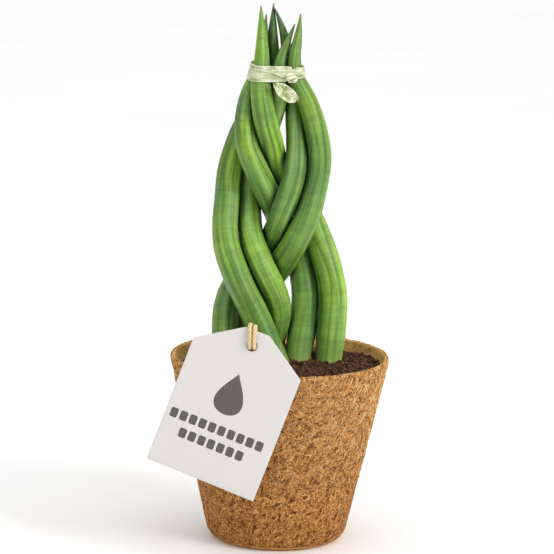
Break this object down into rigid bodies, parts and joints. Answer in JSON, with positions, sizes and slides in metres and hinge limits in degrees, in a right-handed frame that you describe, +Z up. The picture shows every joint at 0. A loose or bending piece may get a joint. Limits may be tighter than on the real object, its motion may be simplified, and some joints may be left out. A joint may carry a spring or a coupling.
{
  "type": "potted snake plant",
  "caption": "Braided cylindrical snake plant, its round upright leaves plaited and tied at the top, rooted in a coir fibre pot with a plain card swing tag.",
  "frame": {"origin": "centre of the pot's underside, on the surface that it stands on", "axes": "+Z up along the plant; the side with the swing tag faces -Y; +X is to the right of a viewer facing that side"},
  "size_m": [0.1365, 0.1331, 0.311],
  "materials": {
    "coir": "rough matted coconut fibre, golden brown",
    "soil": "moist crumbly peat compost, dark brown",
    "leaf": "waxy ribbed succulent leaf, satin green",
    "ribbon": "thin crumpled translucent ribbon, pale green",
    "card": "uncoated stiff card, pale grey",
    "twine": "twisted natural twine, cream"
  },
  "bodies": {
    "root": {"coir_pot": "coir", "potting_soil": "soil", "leaf_left_outer": "leaf", "leaf_left_inner": "leaf", "leaf_middle_outer": "leaf", "leaf_middle_inner": "leaf", "leaf_right_inner": "leaf", "leaf_right_outer": "leaf", "tie_band": "ribbon", "tie_knot": "ribbon", "tie_tail": "ribbon", "tag_card": "card", "tag_twine": "twine", "twine_knot": "twine"}
  },
  "joints": []
}
